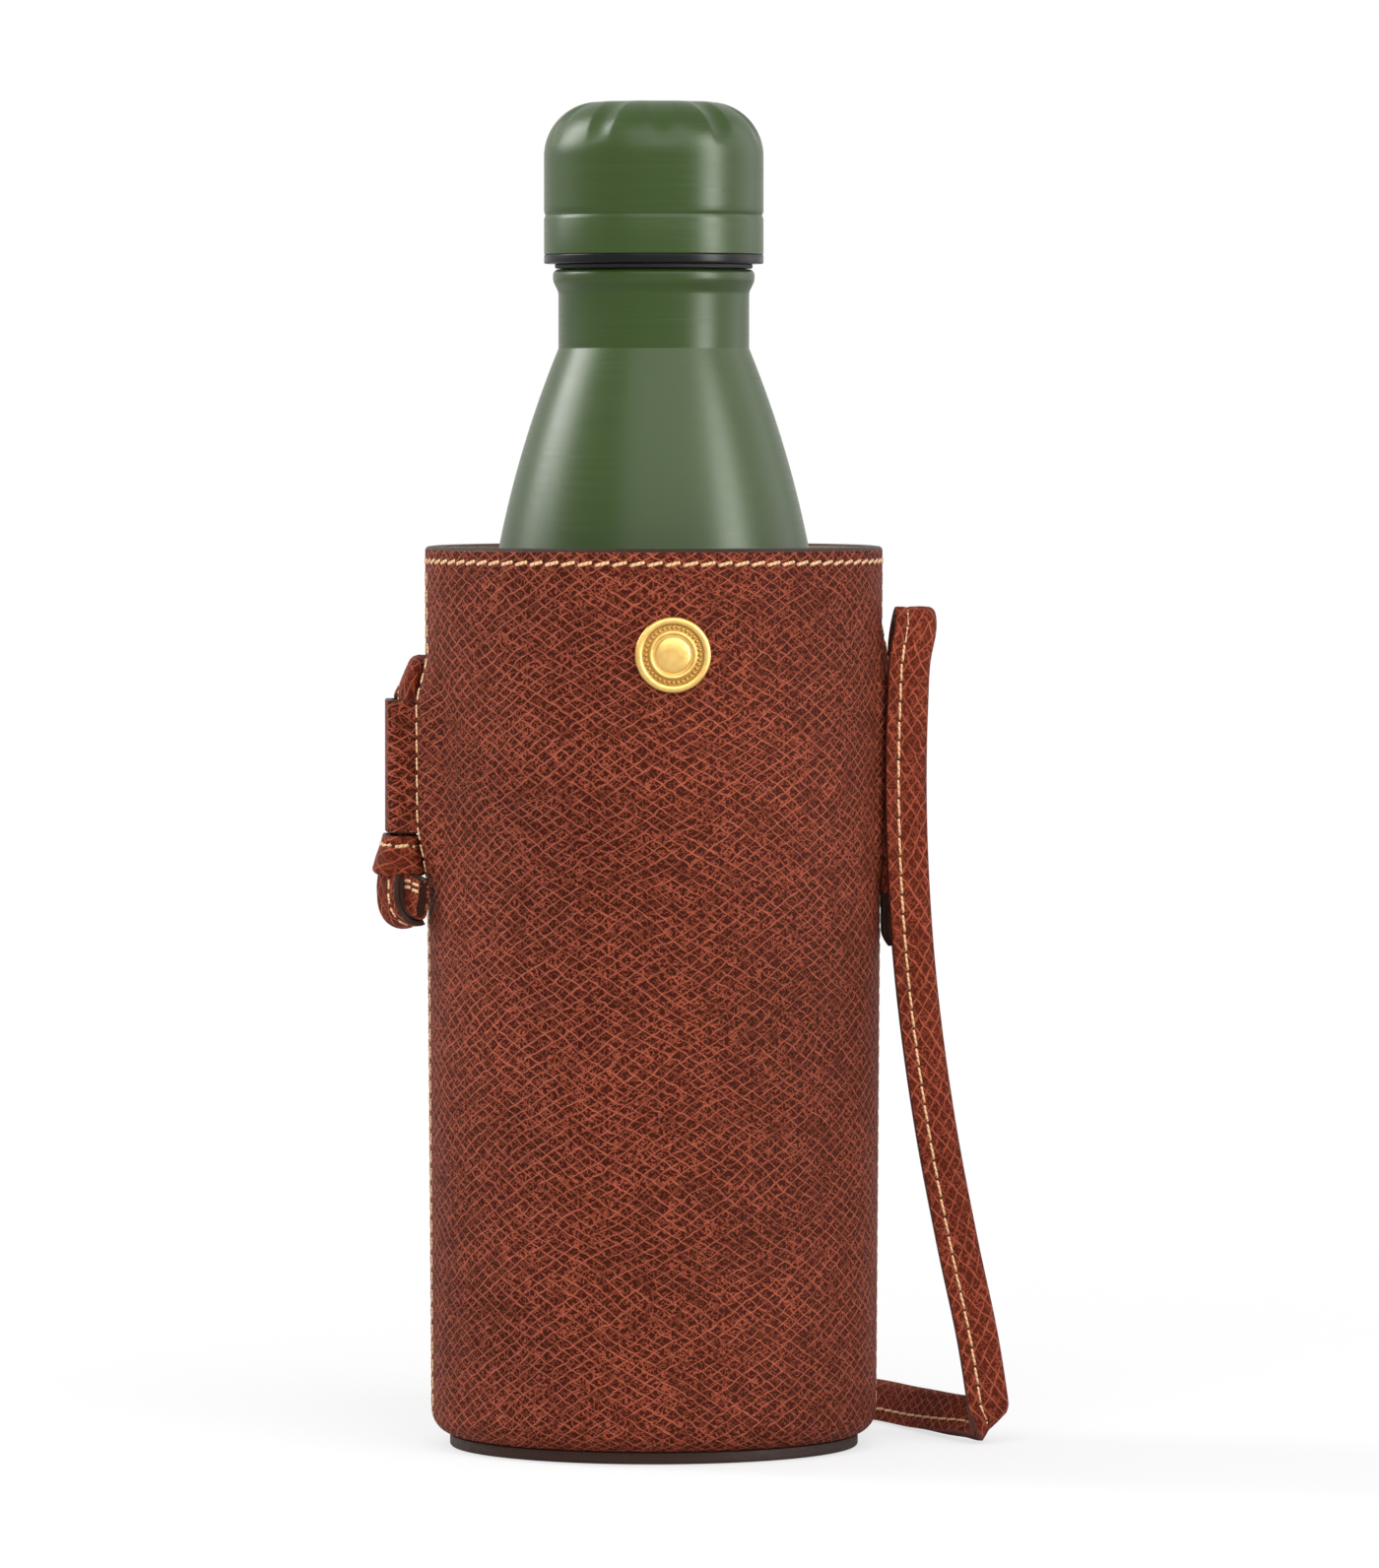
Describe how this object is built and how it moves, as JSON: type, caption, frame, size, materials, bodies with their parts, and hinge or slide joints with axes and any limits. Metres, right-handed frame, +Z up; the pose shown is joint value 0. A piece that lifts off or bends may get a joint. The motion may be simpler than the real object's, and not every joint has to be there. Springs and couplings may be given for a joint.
{
  "type": "water bottle in leather carrier",
  "caption": "Double-walled steel bottle with a fluted screw cap, standing in a round lined leather carrier with side keepers and a knotted carrying strap.",
  "frame": {"origin": "centre of the sole's underside, on which the carrier stands", "axes": "+Z up along the bottle, -Y towards the stud on the front"},
  "size_m": [0.1291, 0.1697, 0.2721],
  "materials": {
    "carrier_leather": "cross-grained, semi-gloss",
    "strap_leather": "cross-grained, folded and sewn",
    "sole_leather": "smooth, matt",
    "lining": "suede side",
    "board": "pressed fibre board",
    "brass": "polished",
    "green_paint": "satin powder coat",
    "steel": "brushed",
    "black_plastic": "moulded",
    "foam": "cut foam",
    "seal_rubber": "matt silicone"
  },
  "bodies": {
    "case": {"case_front_panel": "carrier_leather", "case_back_panel": "carrier_leather", "case_stiffener": "board", "case_lining": "lining", "case_insole": "lining", "case_sole": "sole_leather", "stud_head": "brass", "stud_washer": "brass", "side_patch_left": "carrier_leather", "side_patch_right": "carrier_leather", "strap_keeper_left": "carrier_leather", "strap_keeper_right": "carrier_leather", "strap": "strap_leather", "strap_knot_left": "strap_leather", "strap_knot_right": "strap_leather", "strap_tail_left": "strap_leather", "strap_tail_right": "strap_leather"},
    "bottle": {"bottle_shell": "green_paint", "bottle_liner": "steel", "bottle_base": "steel", "vacuum_plug": "steel"},
    "seal": {"cap_seal": "seal_rubber"},
    "cap": {"cap_shell": "green_paint", "cap_collar": "black_plastic", "cap_plug": "black_plastic", "cap_foam": "foam"}
  },
  "joints": [
    {"name": "bottle_lift", "type": "slide", "parent": "case", "child": "bottle", "axis": [0, 0, 1], "range_m": [0, 0.19]},
    {"name": "cap_rise", "type": "slide", "parent": "bottle", "child": "seal", "axis": [0, 0, 1], "range_m": [0, 0.0181]},
    {"name": "cap_turn", "type": "hinge", "parent": "seal", "child": "cap", "pos_m": [0, 0, 0.24], "axis": [0, 0, 1], "range_deg": [0, 1080]}
  ],
  "couplings": [
    {"joint": "cap_rise", "follows": "cap_turn", "m_per_rad": 0.00095493}
  ]
}
